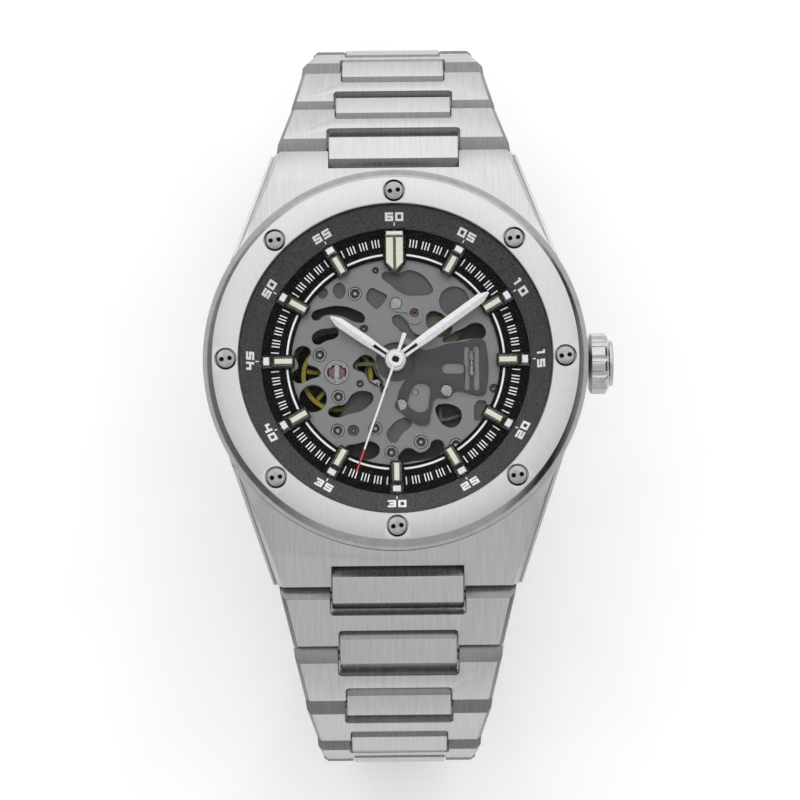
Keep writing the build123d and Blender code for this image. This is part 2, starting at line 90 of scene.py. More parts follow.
def turn(piece, angle, axis="Z"):
    piece.data.transform(Matrix.Rotation(radians(angle), 4, axis))
    return piece


def twin(piece, name):
    """A copy with a mesh of its own."""
    copy = piece.copy()
    copy.data = piece.data.copy()
    copy.name = name
    bpy.context.scene.collection.objects.link(copy)
    return copy


def join(name, pieces):
    """Several meshes made into one piece."""
    alone(pieces[0])
    for piece in pieces[1:]:
        piece.select_set(True)
    bpy.ops.object.join()
    pieces[0].name = name
    return pieces[0]


def around(piece, name, angles, radius=0.0):
    """Copies of a piece drawn at twelve o'clock, turned clockwise about the dial's centre."""
    copies = []
    for angle in angles:
        copy = shift(twin(piece, name), y=radius)
        copies.append(turn(copy, -angle))
    bpy.data.objects.remove(piece)
    return join(name, copies)


def apply(piece, kind, **settings):
    """Adds a modifier and applies it."""
    alone(piece)
    modifier = piece.modifiers.new(kind.lower(), kind)
    for key, value in settings.items():
        setattr(modifier, key, value)
    bpy.ops.object.modifier_apply(modifier=modifier.name)
    return piece


def ease(piece, width, segments=2, angle=35):
    """Breaks the sharp edges, as a polisher does."""
    return apply(piece, "BEVEL", width=width * MM, segments=segments, limit_method="ANGLE",
                 angle_limit=radians(angle), use_clamp_overlap=True)


def carve(piece, cutter, operation="DIFFERENCE"):
    """Boolean with another solid, which is used up."""
    apply(piece, "BOOLEAN", object=cutter, operation=operation, solver="EXACT")
    bpy.data.objects.remove(cutter)
    return piece


def paint(piece, slot, rule):
    """Gives material slot number `slot` to the faces that the rule picks, by centre (mm) and normal."""
    for face in piece.data.polygons:
        if rule(face.center / MM, face.normal):
            face.material_index = slot
    return piece


def clad(piece, *materials):
    """Gives a piece its materials before it is painted and joined to others."""
    for material in materials:
        piece.data.materials.append(material)
    return piece


def settle(piece, name, body, materials, stands_for=(), smooth=30):
    """Names a finished piece, dresses it and hangs it on its body."""
    alone(piece)
    bpy.ops.object.shade_smooth_by_angle(angle=radians(smooth))
    piece.name = name
    piece.data.name = name
    indices = [face.material_index for face in piece.data.polygons]
    piece.data.materials.clear()
    for material in materials if isinstance(materials, (list, tuple)) else [materials]:
        piece.data.materials.append(material)
    for face, index in zip(piece.data.polygons, indices):
        face.material_index = index
    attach(piece, body)
    if stands_for:
        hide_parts(*([stands_for] if isinstance(stands_for, str) else stands_for))
    return piece


# %% [markdown]
# ## Two ways to start a shape
#
# Flat work is drawn as a closed outline, filled and given a thickness; a second outline inside the first
# is a window. Round work is drawn as half of its section and spun about the axis, as on a lathe. Both
# begin as a curve, because a curve takes straight and rounded outlines alike, and both end as a plain
# mesh.


# %% Outlines and lathe work
def trace(curve, points, smooth=False, closed=True):
    """Adds one outline, in millimetres, to a curve."""
    spline = curve.splines.new("BEZIER" if smooth else "POLY")
    knots = spline.bezier_points if smooth else spline.points
    knots.add(len(points) - 1)
    for knot, point in zip(knots, points):
        place = (point[0] * MM, point[1] * MM, (point[2] if len(point) > 2 else 0) * MM)
        knot.co = place if smooth else (*place, 1)
        if smooth:
            knot.handle_left_type = knot.handle_right_type = "AUTO"
    spline.use_cyclic_u = closed
    if smooth:
        spline.resolution_u = 6
    return spline


def meshed(curve, name):
    """Turns a curve into a mesh object with its doubled points merged."""
    piece = bpy.data.objects.new(name, curve)
    bpy.context.scene.collection.objects.link(piece)
    alone(piece)
    bpy.ops.object.convert(target="MESH")
    piece = bpy.context.object
    bpy.ops.object.mode_set(mode="EDIT")
    bpy.ops.mesh.select_all(action="SELECT")
    bpy.ops.mesh.remove_doubles(threshold=1e-7)
    bpy.ops.object.mode_set(mode="OBJECT")
    return piece


def plate(outlines, low, high, smooth=()):
    """Solid plate between two heights. The first outline is its edge, the others are windows."""
    curve = bpy.data.curves.new("outline", "CURVE")
    curve.dimensions = "2D"
    curve.fill_mode = "BOTH"
    curve.extrude = (high - low) / 2 * MM
    for number, points in enumerate(outlines):
        trace(curve, points, smooth=number in smooth)
    piece = meshed(curve, "plate")
    bpy.ops.object.mode_set(mode="EDIT")
    bpy.ops.mesh.select_all(action="SELECT")
    bpy.ops.mesh.dissolve_limited(angle_limit=radians(0.5))
    bpy.ops.mesh.normals_make_consistent(inside=False)
    bpy.ops.object.mode_set(mode="OBJECT")
    return shift(piece, z=(low + high) / 2)


def lathe(section, steps=144):
    """Solid of revolution of a closed (radius, height) section."""
    curve = bpy.data.curves.new("section", "CURVE")
    curve.dimensions = "3D"
    trace(curve, [(r, 0, z) for r, z in section])
    piece = meshed(curve, "lathe")
    bpy.ops.object.mode_set(mode="EDIT")
    bpy.ops.mesh.select_all(action="SELECT")
    bpy.ops.mesh.spin(steps=steps, angle=2 * pi, center=(0, 0, 0), axis=(0, 0, 1))
    bpy.ops.mesh.select_all(action="SELECT")
    bpy.ops.mesh.remove_doubles(threshold=1e-7)
    bpy.ops.mesh.dissolve_degenerate(threshold=1e-7)
    bpy.ops.mesh.normals_make_consistent(inside=False)
    bpy.ops.object.mode_set(mode="OBJECT")
    return piece


def disc(radius, low, high, at=(0, 0), steps=48):
    """Round bar between two heights."""
    bpy.ops.object.select_all(action="DESELECT")
    bpy.ops.mesh.primitive_cylinder_add(vertices=steps, radius=radius * MM, depth=(high - low) * MM)
    return shift(bpy.context.object, at[0], at[1], (low + high) / 2)


def block(size, centre):
    """Box of a size about a centre."""
    bpy.ops.object.select_all(action="DESELECT")
    bpy.ops.mesh.primitive_cube_add(size=1)
    piece = bpy.context.object
    piece.data.transform(Matrix.Diagonal((size[0] * MM, size[1] * MM, size[2] * MM, 1)))
    return shift(piece, *centre)


def circle(radius, at=(0, 0), steps=48):
    """Outline of a round window."""
    return [(at[0] + radius * cos(2 * pi * i / steps), at[1] + radius * sin(2 * pi * i / steps))
            for i in range(steps)]


def chamfer_edges(piece, width, rule):
    """Cuts one flat facet along the edges whose two ends the rule accepts (mm)."""
    mesh = alone(piece).data
    bpy.ops.object.mode_set(mode="EDIT")
    bpy.ops.mesh.select_mode(type="EDGE")
    bpy.ops.mesh.select_all(action="DESELECT")
    bpy.ops.object.mode_set(mode="OBJECT")
    for edge in mesh.edges:
        a, b = (mesh.vertices[v].co / MM for v in edge.vertices)
        edge.select = rule(a, b)
    bpy.ops.object.mode_set(mode="EDIT")
    bpy.ops.mesh.bevel(offset=width * MM, segments=1, affect="EDGES")
    bpy.ops.object.mode_set(mode="OBJECT")
    return piece


# %% [markdown]
# ## Finishes
#
# Brushed steel is a field of very fine parallel scratches: a noise that changes quickly across the
# brushing and slowly along it drives the colour a little, the roughness more, and a shallow bump. A
# polished bevel is the same metal with almost no grain, coloured much darker as painted shade. Painted
# and blasted parts get a round, sparkling grain instead. Object coordinates are used all through, so the
# pattern stays with the metal when a piece moves.


# %% Node helpers
def node(tree, kind, **values):
    made = tree.nodes.new(kind)
    for key, value in values.items():
        if key in made.inputs:
            made.inputs[key].default_value = value
        else:
            setattr(made, key, value)
    return made


def fresh(name):
    """A new material with its output and shader, ready for a pattern."""
    material = bpy.data.materials.new(name)
    material.use_nodes = True
    tree = material.node_tree
    tree.nodes.clear()
    out = node(tree, "ShaderNodeOutputMaterial")
    shader = node(tree, "ShaderNodeBsdfPrincipled")
    tree.links.new(shader.outputs["BSDF"], out.inputs["Surface"])
    return material, tree, shader


def pattern(tree, scale, detail=3.0):
    """Noise stretched by three scales, in cells per metre."""
    coords = node(tree, "ShaderNodeTexCoord")
    mapping = node(tree, "ShaderNodeMapping")
    mapping.inputs["Scale"].default_value = scale
    noise = node(tree, "ShaderNodeTexNoise")
    noise.inputs["Scale"].default_value = 1.0
    noise.inputs["Detail"].default_value = detail
    tree.links.new(coords.outputs["Object"], mapping.inputs["Vector"])
    tree.links.new(mapping.outputs["Vector"], noise.inputs["Vector"])
    return noise.outputs["Fac"]


def spread(tree, fac, low, high):
    """Maps the middle of a noise to a range of values."""
    ranged = node(tree, "ShaderNodeMapRange")
    ranged.inputs["From Min"].default_value = 0.3
    ranged.inputs["From Max"].default_value = 0.7
    ranged.inputs["To Min"].default_value = low
    ranged.inputs["To Max"].default_value = high
    tree.links.new(fac, ranged.inputs["Value"])
    return ranged.outputs["Result"]


def tones(tree, fac, dark, light):
    """Colours between two tones, by a noise."""
    ramp = node(tree, "ShaderNodeValToRGB")
    ramp.color_ramp.elements[0].position = 0.3
    ramp.color_ramp.elements[0].color = (*dark, 1)
    ramp.color_ramp.elements[1].position = 0.7
    ramp.color_ramp.elements[1].color = (*light, 1)
    tree.links.new(fac, ramp.inputs["Fac"])
    return ramp.outputs["Color"]


def relief(tree, shader, fac, height):
    """Fine bump, its depth in metres."""
    bump = node(tree, "ShaderNodeBump")
    bump.inputs["Strength"].default_value = 1.0
    bump.inputs["Distance"].default_value = height
    tree.links.new(fac, bump.inputs["Height"])
    tree.links.new(bump.outputs["Normal"], shader.inputs["Normal"])


def metal(name, dark, light, rough, grain, depth, detail=3.0):
    """Metal with a grain: rough is (low, high), grain the noise cells per metre along X, Y and Z."""
    material, tree, shader = fresh(name)
    fac = pattern(tree, grain, detail)
    shader.inputs["Metallic"].default_value = 1.0
    tree.links.new(tones(tree, fac, dark, light), shader.inputs["Base Color"])
    tree.links.new(spread(tree, fac, *rough), shader.inputs["Roughness"])
    if depth:
        relief(tree, shader, fac, depth)
    return material


def coated(name, dark, light, rough, grain, depth, metallic=0.0, gloss=0.5, detail=2.0):
    """Painted, printed or blasted surface with a round grain; gloss is its mirror part."""
    material, tree, shader = fresh(name)
    shader.inputs["Specular IOR Level"].default_value = gloss
    fac = pattern(tree, (grain, grain, grain), detail)
    shader.inputs["Metallic"].default_value = metallic
    tree.links.new(tones(tree, fac, dark, light), shader.inputs["Base Color"])
    tree.links.new(spread(tree, fac, *rough), shader.inputs["Roughness"])
    if depth:
        relief(tree, shader, fac, depth)
    return material


def grey(value):
    return (value, value, value * 1.01)


# %% The finishes of this watch
BRUSHED = metal("brushed_steel", grey(0.45), grey(0.54), (0.30, 0.40), (5200, 240, 240), 0.5e-6)
FINE_BRUSHED = metal("fine_brushed_steel", grey(0.47), grey(0.51), (0.30, 0.36), (2600, 700, 700), 0.2e-6)
SATIN = metal("satin_steel", grey(0.40), grey(0.48), (0.26, 0.36), (4200, 500, 500), 0.5e-6)
POLISHED = metal("polished_steel", grey(0.56), grey(0.62), (0.08, 0.13), (700, 700, 700), 0.0)
# Painted shade: the polished steel coloured much darker, for the bezel's outer bevel.
BEVEL = metal("polished_bevel_painted_shade", grey(0.31), grey(0.37), (0.10, 0.16), (900, 900, 900), 0.0)
# Painted shade: the brushed steel coloured much darker, for the sloping faces of the links and case and the
# sides of the hands.
SHADED_FACET = metal("facet_painted_shade", grey(0.17), grey(0.21), (0.24, 0.32), (4200, 400, 400), 0.3e-6)
GUNMETAL = metal("gunmetal_frame", (0.065, 0.065, 0.055), (0.11, 0.11, 0.09), (0.22, 0.32),
                 (3000, 3000, 3000), 0.0)
DIAL_BLACK = coated("dial_black", grey(0.003), grey(0.006), (0.5, 0.6), 9000, 0.5e-6, 0.0, 0.05)
CHAPTER = coated("chapter_grey", grey(0.022), grey(0.115), (0.5, 0.65), 6500, 1.6e-6, 0.0, 0.15, 4.0)
PRINT = coated("white_print", grey(0.90), grey(0.96), (0.5, 0.6), 4000, 0.0)
LUME = coated("luminous_paint", (0.74, 0.76, 0.62), (0.84, 0.85, 0.72), (0.6, 0.75), 12000, 0.6e-6)
PLATE = coated("grained_plate", grey(0.20), grey(0.25), (0.45, 0.6), 12000, 0.4e-6, 0.35)
# Painted shade: the plate's finish coloured much darker, for the lower layer's sunk floors and the bridges
# beneath.
PLATE_SHADED = coated("plate_painted_shade", grey(0.075), grey(0.11), (0.45, 0.6), 9000, 0.5e-6, 0.35)
COVER = coated("dark_cover", grey(0.06), grey(0.08), (0.45, 0.6), 9000, 0.4e-6, 0.2, 0.2)
# Near-black: the own colour of the minute grooves, hand inlays and seconds pipe, and painted shade in the
# bezel's wells, the screws' holes and rims and the disc under the balance.
NEAR_BLACK_AND_SHADE = coated("near_black_and_painted_shade", grey(0.008), grey(0.02), (0.5, 0.7), 5000, 0.0, 0.0, 0.1)
GILT = metal("gilt_brass", (0.14, 0.12, 0.02), (0.24, 0.20, 0.04), (0.3, 0.42), (3000, 3000, 3000), 0.3e-6)
# Gilt coloured much darker and greyer than the balance's, for the wheels and the barrel.
DARK_GILT = metal("dark_gilt", (0.065, 0.06, 0.045), (0.12, 0.11, 0.08), (0.3, 0.42),
                  (3000, 3000, 3000), 0.3e-6)
STEEL_PART = metal("bright_screw", grey(0.20), grey(0.32), (0.2, 0.32), (2500, 2500, 2500), 0.2e-6)
SCREW_STEEL = metal("screw_steel", grey(0.24), grey(0.34), (0.14, 0.22), (1500, 1500, 1500), 0.0)
CROWN_STEEL = metal("crown_steel", grey(0.40), grey(0.48), (0.12, 0.2), (1200, 1200, 1200), 0.0)
# Painted shade: polished steel coloured darker, for the sides and chamfers of the hour-marker blocks.
MARKER_BLOCK_SHADED = metal("marker_block_painted_shade", grey(0.20), grey(0.27), (0.2, 0.3), (2500, 2500, 2500), 0.0)
HAND = metal("hand_steel", grey(0.52), grey(0.62), (0.26, 0.34), (3000, 3000, 3000), 0.0)
WHITE = coated("white_lacquer", grey(0.80), grey(0.88), (0.25, 0.35), 3000, 0.0)
RED = coated("red_lacquer", (0.62, 0.02, 0.03), (0.75, 0.04, 0.05), (0.25, 0.35), 3000, 0.0)
RUBBER = coated("gasket_rubber", grey(0.012), grey(0.03), (0.55, 0.7), 3000, 1.0e-6)
BLUED = metal("blued_spring", (0.04, 0.06, 0.22), (0.06, 0.10, 0.32), (0.2, 0.3), (3000, 3000, 3000), 0.0)


def stone(name, dark, light):
    """Synthetic ruby: a clear coat over a cloudy pink."""
    material, tree, shader = fresh(name)
    fac = pattern(tree, (2500, 2500, 2500))
    tree.links.new(tones(tree, fac, dark, light), shader.inputs["Base Color"])
    tree.links.new(spread(tree, fac, 0.08, 0.16), shader.inputs["Roughness"])
    shader.inputs["Coat Weight"].default_value = 0.8
    return material


RUBY = stone("ruby", (0.06, 0.014, 0.032), (0.15, 0.04, 0.075))


def sapphire(name):
    """Clear crystal: nearly all see-through, with a faint haze that a noise varies."""
    material, tree, shader = fresh(name)
    fac = pattern(tree, (90, 90, 90))
    tree.links.new(tones(tree, fac, (0.02, 0.025, 0.03), (0.03, 0.035, 0.04)), shader.inputs["Base Color"])
    tree.links.new(spread(tree, fac, 0.02, 0.05), shader.inputs["Roughness"])
    shader.inputs["Alpha"].default_value = 0.025
    return material


GLASS = sapphire("sapphire")
print("finishes:", len(bpy.data.materials))


def dress(material, *names):
    """Gives a finish to solids of the frame whose shape is right as it is."""
    for name in names:
        mesh = frame["nodes"][name].data
        mesh.materials.clear()
        mesh.materials.append(material)
        for face in mesh.polygons:
            face.material_index = 0


# %% [markdown]
# ## The bracelet
#
# Each outer link is an H: a block that narrows away from the case, with a chamfer on the end that faces
# the case, narrow bevels down its sloping sides, and a notch at each end for the narrower centre links.
# It starts as a cube whose corners are moved, the chamfers are cut edge by edge, and the notches are sunk
# with rounded cutters. The pivots come from the frame's joints, so that every link lies where its hinge
# is.

# %% Where the links lie
LINK_THICK = 3.16
PITCH = 7.4
HEEL = 1.4
TOE, LAST_TOE = 5.7, 6.6
CENTRE_START = 3.8
JOINT_WIDTHS = (27.3, 24.2, 21.8, 19.3, 18.2, 17.4) + (17.0,) * 6
CENTRE_WIDTHS = (15.1, 13.5, 12.1, 11.2, 10.6, 10.2) + (10.0,) * 5
LINKS = len(CENTRE_WIDTHS)
SIDES = {12: 1, 6: -1}


def pivot(name):
    """A joint's place, in millimetres."""
    for joint in frame["joints"]:
        if joint["name"] == name:
            return Vector(joint["pos_m"]) / MM
    raise ValueError(name)


PIVOTS = {hours: [pivot(f"link_{hours}_{i + 1:02d}_turn") for i in range(LINKS)]
          for hours in SIDES}


def slopes(hours):
    """Slope of each link of one half, down from level; the last link of each half lies level."""
    places = PIVOTS[hours]
    return [degrees(atan2(a.z - b.z, abs(b.y) - abs(a.y))) for a, b in zip(places, places[1:])] + [180.0]


SLOPES = {hours: slopes(hours) for hours in SIDES}
END_SLOPE = 24.0
print("link slopes:", {hours: [round(s) for s in row] for hours, row in SLOPES.items()})


def lay(piece, index, hours, slope=None):
    """Moves a link drawn along +Y at its pivot to its place on one side of the case."""
    place = PIVOTS[hours][index]
    turn(piece, -(SLOPES[hours][index] if slope is None else slope), "X")
    shift(piece, 0, abs(place.y), place.z)
    return piece if SIDES[hours] > 0 else turn(piece, 180)


# %% Outer links
def rounded_cutter(width, near, far, radius):
    """Upright cutter with rounded corners in plan."""
    half = width / 2
    corners = [(half, near), (half, far), (-half, far), (-half, near)]
    points = []
    for (x, y), start in zip(corners, (-90, 0, 90, 180)):
        cx = x - radius * (1 if x > 0 else -1)
        cy = y - radius * (1 if y == far else -1)
        for step in range(5):
            a = radians(start + 22.5 * step)
            points.append((cx + radius * cos(a), cy + radius * sin(a)))
    return plate([points], -4, 4)


def outer_link(index):
    near, far = JOINT_WIDTHS[index] / 2, JOINT_WIDTHS[index + 1] / 2
    last = index == LINKS - 1
    end = LAST_TOE if last else TOE
    body = block((2, end + HEEL, LINK_THICK), (0, (end - HEEL) / 2, 0))
    for vertex in body.data.vertices:
        vertex.co.x *= near if vertex.co.y < 0.001 else far
    chamfer_edges(body, 1.3, lambda a, b: a.y < -1.3 and b.y < -1.3 and abs(a.x - b.x) > 1)
    chamfer_edges(body, 0.5, lambda a, b: a.x * b.x > 0 and abs(a.y - b.y) > 2)
    carve(body, rounded_cutter(CENTRE_WIDTHS[index] + 0.4, -4, 1.8, 0.45))
    width = 8.4 if last else CENTRE_WIDTHS[index + 1] + 0.12
    depth = 3.2 if last else 1.9
    carve(body, rounded_cutter(width, end - depth, end + 4, 0.35))
    ease(body, 0.09, 2, 25)
    # Sloping faces take the darker steel as painted shade.
    return paint(body, 1, lambda centre, normal: 0.35 < abs(normal.z) < 0.95)


def centre_link(width, start):
    """Narrow link, proud of its neighbours by a hair, with a facet at each end."""
    length = HEEL - start
    body = block((width, length, LINK_THICK), (0, start + length / 2, 0.09))
    chamfer_edges(body, 1.0, lambda a, b: abs(a.x - b.x) > 1)
    body = ease(body, 0.08, 2, 25)
    # Sloping faces take the darker steel as painted shade.
    return paint(body, 1, lambda centre, normal: 0.35 < abs(normal.z) < 0.95)


for index in range(LINKS):
    outer = outer_link(index)
    for hours in SIDES:
        name = f"link_{hours}_{index + 1:02d}"
        piece = lay(twin(outer, name), index, hours)
        settle(piece, f"outer_{name}", name, [BRUSHED, SHADED_FACET], name)
        if index < LINKS - 1:
            middle = shift(centre_link(CENTRE_WIDTHS[index + 1], CENTRE_START - PITCH), 0, PITCH, 0)
            lay(middle, index, hours)
            settle(middle, f"centre_{name}", name, [BRUSHED, SHADED_FACET])
        rod = ease(disc(0.6, -JOINT_WIDTHS[index] / 2 + 1.2, JOINT_WIDTHS[index] / 2 - 1.2), 0.1)
        lay(turn(rod, 90, "Y"), index, hours)
        settle(rod, f"pin_{name}", name, STEEL_PART)
    bpy.data.objects.remove(outer)
for hours in SIDES:
    first = lay(centre_link(CENTRE_WIDTHS[0], -3.7), 0, hours, END_SLOPE)
    settle(first, f"centre_link_{hours}_00", "case", [BRUSHED, SHADED_FACET], "end_links")
print("bracelet:", 2 * LINKS, "outer links")

# %% [markdown]
# ## The bezel and its screws
#
# The bezel is one turned ring: a flat top with upright brushing and a polished bevel down to its edge,
# which is coloured much darker than the top as painted shade.
# Eight round-headed screws sit in wells. Each head is a low dome with two spanner holes, spun from its
# section. All are turned alike, so that their pairs of holes are parallel. The walls of the wells, the
# spanner holes and the rims of the heads are near-black, as painted shade.

# %% Bezel
BEZEL_TOP = 11.6
SCREW_RING = 19.35
SCREW_ANGLES = [45 * i for i in range(8)]
HOLE_SHIFT, HOLE_TILT = 0.46, 8
bezel = lathe([(17.9, 9.45), (21.9, 9.45), (22.0, 9.6), (22.0, 10.5), (21.95, 10.62), (20.98, 11.56),
               (20.9, BEZEL_TOP), (18.0, BEZEL_TOP), (17.9, 11.52)], 256)
for angle in SCREW_ANGLES:
    x, y = SCREW_RING * sin(radians(angle)), SCREW_RING * cos(radians(angle))
    carve(bezel, disc(1.28, BEZEL_TOP - 0.9, 13, (x, y)))
# The outer bevel and side take the darker polished steel as painted shade.
paint(bezel, 1, lambda centre, normal: abs(normal.z) < 0.9 and hypot(centre.x, centre.y) > 20.8)
# The walls of the screw wells are painted near-black as painted shade.
paint(bezel, 2, lambda centre, normal: 1.0 < abs(hypot(centre.x, centre.y) - 19.3) < 1.4
      and abs(normal.z) < 0.3 and hypot(centre.x, centre.y) < 20.7 and hypot(centre.x, centre.y) > 18.05)
settle(bezel, "bezel_ring", "case", [FINE_BRUSHED, BEVEL, NEAR_BLACK_AND_SHADE], "bezel")

# %% Screws
head = lathe([(0, BEZEL_TOP - 0.8), (1.1, BEZEL_TOP - 0.8), (1.1, BEZEL_TOP - 0.12), (1.02, BEZEL_TOP),
              (0.8, BEZEL_TOP + 0.07), (0.45, BEZEL_TOP + 0.1), (0, BEZEL_TOP + 0.11)], 48)
for x in (-HOLE_SHIFT, HOLE_SHIFT):
    carve(head, disc(0.27, BEZEL_TOP - 0.4, 13, (x, 0), 20))
clad(head, SCREW_STEEL, NEAR_BLACK_AND_SHADE)
paint(head, 0, lambda centre, normal: True)
# The spanner holes and the rim below the top are painted near-black as painted shade.
paint(head, 1, lambda centre, normal: hypot(abs(centre.x) - HOLE_SHIFT, centre.y) < 0.29
      and centre.z < BEZEL_TOP - 0.02)
paint(head, 1, lambda centre, normal: hypot(centre.x, centre.y) > 1.05 and centre.z < BEZEL_TOP - 0.1)
heads = []
for angle in SCREW_ANGLES:
    copy = turn(twin(head, "head"), HOLE_TILT)
    heads.append(shift(copy, SCREW_RING * sin(radians(angle)), SCREW_RING * cos(radians(angle))))
bpy.data.objects.remove(head)
settle(join("screws", heads), "bezel_screw_heads", "case", [SCREW_STEEL, NEAR_BLACK_AND_SHADE], "bezel_screws")

# %% [markdown]
# ## The crystal
#
# A flat disc of sapphire with a small bevel round its edge. It is nearly invisible, so the finish is a
# very thin haze and not real refraction, which would need many more light paths to stay clean.

# %% Crystal
crystal = lathe([(0, 10.65), (17.86, 10.65), (17.86, 11.6), (17.72, 11.74), (0, 11.75)], 128)
settle(crystal, "crystal_disc", "case", GLASS, "crystal")

# %% [markdown]
# ## The chapter ring and its numerals
#
# The chapter ring slopes from the dial up to the crystal. Its numerals are square, stroke by stroke, so
# each digit is an outline on a small grid; two digits make a number, laid on the slope. Numbers in the
# upper part face outwards and those in the lower part face inwards, so that none is read upside down.

# %% Ring
RING_IN, RING_OUT = (15.4, 9.1), (17.6, 10.6)
SLOPE_RISE = degrees(atan2(RING_OUT[1] - RING_IN[1], RING_OUT[0] - RING_IN[0]))
chapter = lathe([(15.4, 8.7), (17.85, 8.7), (17.85, 10.6), RING_OUT, RING_IN], 192)
settle(chapter, "sloping_ring", "case", CHAPTER, "chapter_ring")

# %% Digits
W, H, S = 0.94, 1.08, 0.27
M0, M1 = (H - S) / 2, (H + S) / 2
BOX = [(0, 0), (W, 0), (W, H), (0, H)]
DIGITS = {
    "0": [BOX, [(S, S), (S, H - S), (W - S, H - S), (W - S, S)]],
    "1": [[(0.3, 0), (0.54, 0), (0.54, H), (0.12, H), (0.12, H - S), (0.3, H - S)]],
    "2": [[(0, 0), (W, 0), (W, S), (S, S), (S, M0), (W, M0), (W, H), (0, H), (0, H - S),
           (W - S, H - S), (W - S, M1), (0, M1)]],
    "3": [[(0, 0), (W, 0), (W, H), (0, H), (0, H - S), (W - S, H - S), (W - S, M1), (0.2, M1), (0.2, M0),
           (W - S, M0), (W - S, S), (0, S)]],
    "4": [[(W - S, 0), (W, 0), (W, H), (W - S, H), (W - S, M1), (S, M1), (S, H), (0, H), (0, M0),
           (W - S, M0)]],
    "5": [[(0, 0), (W, 0), (W, M1), (S, M1), (S, H - S), (W, H - S), (W, H), (0, H), (0, M0), (W - S, M0),
           (W - S, S), (0, S)]],
    "6": [[(0, 0), (W, 0), (W, M1), (S, M1), (S, H - S), (W, H - S), (W, H), (0, H)],
          [(S, S), (S, M0), (W - S, M0), (W - S, S)]],
}


def number(minute):
    """Two digits side by side, centred."""
    text = f"{minute:02d}"
    pieces = []
    for place, digit in enumerate(text):
        offset = (-W - 0.12) if place == 0 else 0.12
        outlines = [[(x + offset, y - H / 2) for x, y in outline] for outline in DIGITS[digit]]
        pieces.append(plate(outlines, 0, 0.03))
    return join("number", pieces)


def on_slope(piece, radius):
    """Lays a flat piece on the sloping ring at twelve o'clock."""
    turn(piece, SLOPE_RISE, "X")
    height = RING_IN[1] + (radius - RING_IN[0]) * (RING_OUT[1] - RING_IN[1]) / (RING_OUT[0] - RING_IN[0])
    return shift(piece, 0, radius, height + 0.03)


prints = []
for minute in range(5, 65, 5):
    piece = number(minute)
    if 20 <= minute <= 40:
        turn(piece, 180)
    prints.append(turn(on_slope(piece, 16.62), -6 * minute))
    tick = on_slope(block((0.13, 0.4, 0.03), (0, 0, 0)), 15.85)
    prints.append(turn(tick, -6 * minute))
settle(join("numerals", prints), "minute_numerals", "case", PRINT)

# %% [markdown]
# ## The dial ring and its minute track
#
# Inside the chapter ring is a black ring with printed marks, three between each pair of minutes. A mark
# is a very thin box, copied round the ring wherever no hour marker hides it. A fine white line runs along
# the inner edge, broken at each hour.

# %% Black ring
DIAL_TOP = 8.65
dial = lathe([(11.95, 8.25), (17.85, 8.25), (17.85, DIAL_TOP), (12.05, DIAL_TOP),
              (11.95, DIAL_TOP - 0.08)], 192)
settle(dial, "black_dial_ring", "case", DIAL_BLACK, "dial_ring")

# %% Marks
quarter_marks, minute_marks = [], []
for step in range(240):
    angle = 1.5 * step
    off_hour = abs((angle + 15) % 30 - 15)
    near_twelve = min(angle, 360 - angle) < 5.3
    if off_hour < 3.4 or near_twelve:
        continue
    (minute_marks if step % 4 == 0 else quarter_marks).append(angle)
tick = block((0.13, 0.92, 0.02), (0, 13.85, DIAL_TOP + 0.01))
settle(around(tick, "track", quarter_marks), "quarter_minute_marks", "case", PRINT)
groove = block((0.12, 0.9, 0.02), (0, 13.8, DIAL_TOP + 0.005))
settle(around(groove, "grooves", minute_marks), "minute_grooves", "case", NEAR_BLACK_AND_SHADE)


def arc(inner, outer, start, stop, steps=24):
    """Outline of a curved strip between two clockwise angles."""
    angles = [start + (stop - start) * i / steps for i in range(steps + 1)]
    far = [(outer * sin(radians(a)), outer * cos(radians(a))) for a in angles]
    near = [(inner * sin(radians(a)), inner * cos(radians(a))) for a in reversed(angles)]
    return far + near


lines = []
for hour in range(12):
    start = 30 * hour + (6.2 if hour == 0 else 4.0)
    stop = 30 * hour + (23.8 if hour == 11 else 26.0)
    lines.append(plate([arc(12.33, 12.56, start, stop)], DIAL_TOP, DIAL_TOP + 0.03))
settle(join("line", lines), "inner_track_line", "case", PRINT)

# %% [markdown]
# ## Hour markers
#
# Each baton is a bevelled gunmetal bar with a trough of luminous paint and a polished square block at its
# outer end. The block's sides and chamfers are polished steel coloured darker, as painted shade, under a
# polished top. The twelve is a shield: two long troughs that run down to a point, under a bright bar.

# %% Batons
MARKER_TOP = 9.4
bar = plate([[(-0.75, 11.7), (-0.6, 11.55), (0.6, 11.55), (0.75, 11.7), (0.75, 14.15), (-0.75, 14.15)]],
            DIAL_TOP, MARKER_TOP)
chamfer_edges(bar, 0.2, lambda a, b: a.z > 9.3 and b.z > 9.3)
lume = ease(block((0.58, 2.0, 0.1), (0, 12.85, MARKER_TOP)), 0.03, 1)
cap = block((1.5, 1.25, 0.85), (0, 14.8, 9.05))
chamfer_edges(cap, 0.28, lambda a, b: a.z > 9.3 and b.z > 9.3)
hours = [30 * h for h in range(1, 12)]
settle(around(bar, "bars", hours), "marker_bars", "case", GUNMETAL, "hour_markers")
settle(around(lume, "lume", hours), "marker_lume", "case", LUME)
# The blocks' sides and chamfers take the darker steel as painted shade.
settle(around(cap, "caps", hours), "marker_blocks", "case", MARKER_BLOCK_SHADED)
mirror = ease(block((0.92, 0.68, 0.08), (0, 14.8, 9.5)), 0.02, 1)
settle(around(mirror, "mirrors", hours), "marker_mirrors", "case", POLISHED)

